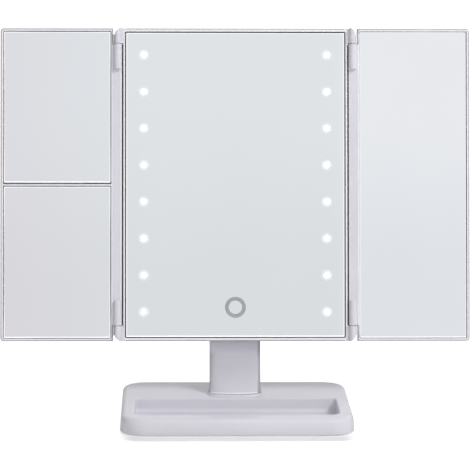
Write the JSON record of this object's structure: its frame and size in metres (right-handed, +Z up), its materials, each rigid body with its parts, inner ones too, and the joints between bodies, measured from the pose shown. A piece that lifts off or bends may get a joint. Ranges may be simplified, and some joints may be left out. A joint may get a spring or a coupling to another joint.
{
  "type": "lighted magnifying mirror",
  "caption": "Free-standing vanity mirror with a tilting lit centre glass, two folding wings, one with concave mirrors, a touch switch and a base with a tray.",
  "frame": {"origin": "on the table, below the middle of the whole mirror's outline seen from above", "axes": "+X to the viewer's right along the open wings, +Y away from the viewer, +Z up"},
  "size_m": [0.345, 0.1268, 0.2802],
  "materials": {
    "white_plastic": "glossy moulded white plastic with a faint cool cast",
    "mirror_glass": "silvered glass, polished",
    "milky_window": "milky light-spreading plastic, glows white when lit",
    "ring_print": "satin grey ring round the touch point",
    "circuit_board": "green solder mask",
    "steel": "zinc-plated steel",
    "spring_steel": "bright nickel-plated spring steel",
    "copper_plate": "bare copper foil",
    "cell_can": "plain wrapped steel can",
    "soft_rubber": "soft translucent white rubber"
  },
  "bodies": {
    "stand": {"base_shell": "white_plastic", "base_plate": "white_plastic", "ballast_plate": "steel", "foot_front_left": "soft_rubber", "foot_front_right": "soft_rubber", "foot_rear_left": "soft_rubber", "foot_rear_right": "soft_rubber", "base_screw_1": "steel", "base_screw_2": "steel", "base_screw_3": "steel", "base_screw_4": "steel", "neck_front": "white_plastic", "neck_cover": "white_plastic", "neck_screw_left": "steel", "neck_screw_right": "steel", "friction_washer_left": "spring_steel", "friction_washer_right": "spring_steel", "cover_screw_lower": "steel", "cover_screw_upper": "steel", "tilt_axle": "steel"},
    "head": {"centre_frame": "white_plastic", "centre_mirror": "mirror_glass", "touch_ring": "ring_print", "touch_plate": "copper_plate", "control_board": "circuit_board", "charging_socket": "spring_steel", "rear_housing": "white_plastic", "contact_plate_upper": "spring_steel", "contact_plate_lower": "spring_steel", "battery_cell_1": "cell_can", "battery_cell_2": "cell_can", "battery_cell_3": "cell_can", "battery_cell_4": "cell_can", "light_strip_left": "milky_window", "light_strip_right": "milky_window", "light_board_left": "circuit_board", "light_board_right": "circuit_board", "axle_cap_left": "white_plastic", "axle_cap_right": "white_plastic", "hinge_pin_lower_left": "steel", "hinge_pin_upper_left": "steel", "hinge_pin_lower_right": "steel", "hinge_pin_upper_right": "steel", "housing_screw_lower_left": "steel", "housing_screw_upper_left": "steel", "housing_screw_lower_right": "steel", "housing_screw_upper_right": "steel"},
    "left_wing": {"left_wing_frame": "white_plastic", "left_wing_back": "white_plastic", "upper_magnifying_mirror": "mirror_glass", "lower_magnifying_mirror": "mirror_glass"},
    "right_wing": {"right_wing_frame": "white_plastic", "right_wing_back": "white_plastic", "right_mirror": "mirror_glass"},
    "battery_door": {"battery_cover": "white_plastic"}
  },
  "joints": [
    {"name": "head_tilt", "type": "hinge", "parent": "stand", "child": "head", "pos_m": [0, 0.02429, 0.05851], "axis": [-1, 0, 0], "range_deg": [-14, 60]},
    {"name": "left_wing_fold", "type": "hinge", "parent": "head", "child": "left_wing", "pos_m": [-0.0865, 0.02753, 0.16688], "axis": [0, 0.1908, 0.9816], "range_deg": [0, 180]},
    {"name": "right_wing_fold", "type": "hinge", "parent": "head", "child": "right_wing", "pos_m": [0.0865, 0.02753, 0.16688], "axis": [0, -0.1908, -0.9816], "range_deg": [0, 180]},
    {"name": "battery_cover_lift", "type": "slide", "parent": "head", "child": "battery_door", "axis": [0, 0.9816, -0.1908], "range_m": [0, 0.03]}
  ]
}
